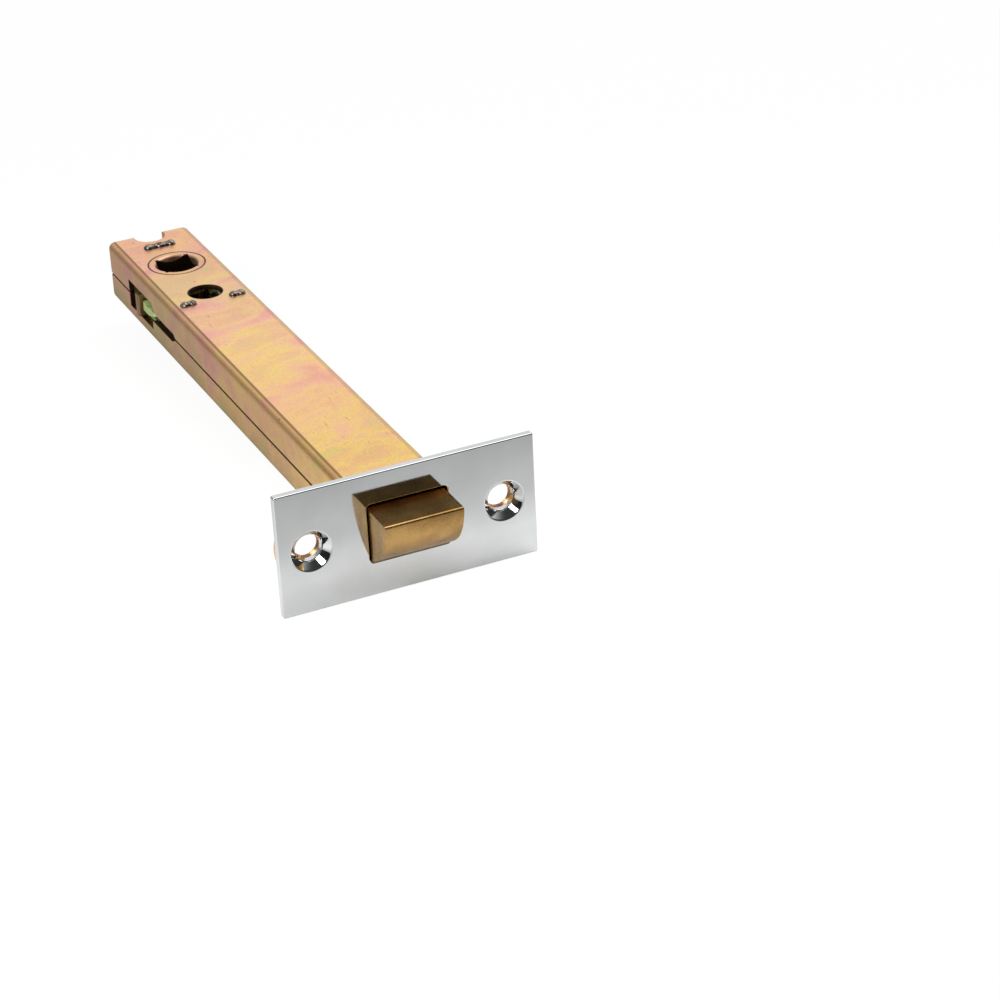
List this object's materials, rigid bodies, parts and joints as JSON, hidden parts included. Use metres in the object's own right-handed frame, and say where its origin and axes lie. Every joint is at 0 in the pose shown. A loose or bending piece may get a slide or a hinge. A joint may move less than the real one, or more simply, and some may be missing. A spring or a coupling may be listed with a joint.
{
  "type": "tubular door latch",
  "caption": "Tubular mortice door latch: folded steel case, sprung brass latch bolt, chromed forend and an 8 mm follower.",
  "frame": {"origin": "centre of the forend's outer face, midway between its two screw holes, on the bolt's axis", "axes": "+X out of the forend along the latch bolt, +Y along the forend's long side, +Z along the spindle"},
  "size_m": [0.1624, 0.056, 0.027],
  "materials": {
    "passivated_steel": "zinc plated, yellow passivated",
    "follower_metal": "zinc plated, yellow passivated",
    "chromed_steel": "polished",
    "brass": "satin",
    "bare_steel": "bare",
    "zinc_green": "zinc plated, pale green tint",
    "spring_steel": "drawn wire"
  },
  "bodies": {
    "case": {"upper_case": "passivated_steel", "lower_case": "passivated_steel", "forend_plate": "chromed_steel", "inner_forend": "passivated_steel", "front_spacer": "bare_steel", "rear_spacer": "bare_steel", "bolt_spring": "spring_steel", "left_follower_spring": "spring_steel", "right_follower_spring": "spring_steel"},
    "follower": {"follower": "follower_metal"},
    "retractor": {"retractor": "passivated_steel", "drawbar": "passivated_steel"},
    "bolt": {"latch_bolt": "brass", "bolt_pin": "bare_steel"},
    "left_slide": {"left_spring_slide": "zinc_green"},
    "right_slide": {"right_spring_slide": "zinc_green"}
  },
  "joints": [
    {"name": "follower_turn", "type": "hinge", "parent": "case", "child": "follower", "pos_m": [-0.133, 0, 0], "axis": [0, 0, 1], "range_deg": [0, 55]},
    {"name": "retractor_pull", "type": "slide", "parent": "case", "child": "retractor", "axis": [-1, 0, 0], "range_m": [0, 0.0084], "stiffness_N_per_m": 300, "springref_m": -0.004},
    {"name": "bolt_press", "type": "slide", "parent": "retractor", "child": "bolt", "axis": [-1, 0, 0], "range_m": [0, 0.0084], "stiffness_N_per_m": 250, "springref_m": -0.02, "deforming": ["bolt_spring"]},
    {"name": "left_slide_push", "type": "slide", "parent": "case", "child": "left_slide", "axis": [1, 0, 0], "range_m": [0, 0.0084], "deforming": ["left_follower_spring"]},
    {"name": "right_slide_push", "type": "slide", "parent": "case", "child": "right_slide", "axis": [1, 0, 0], "range_m": [0, 0.0084], "stiffness_N_per_m": 300, "springref_m": -0.004, "deforming": ["right_follower_spring"]}
  ],
  "couplings": [
    {"joint": "follower_turn", "follows": "retractor_pull", "rad_per_m": 114.28},
    {"joint": "left_slide_push", "follows": "retractor_pull", "ratio": 1}
  ]
}
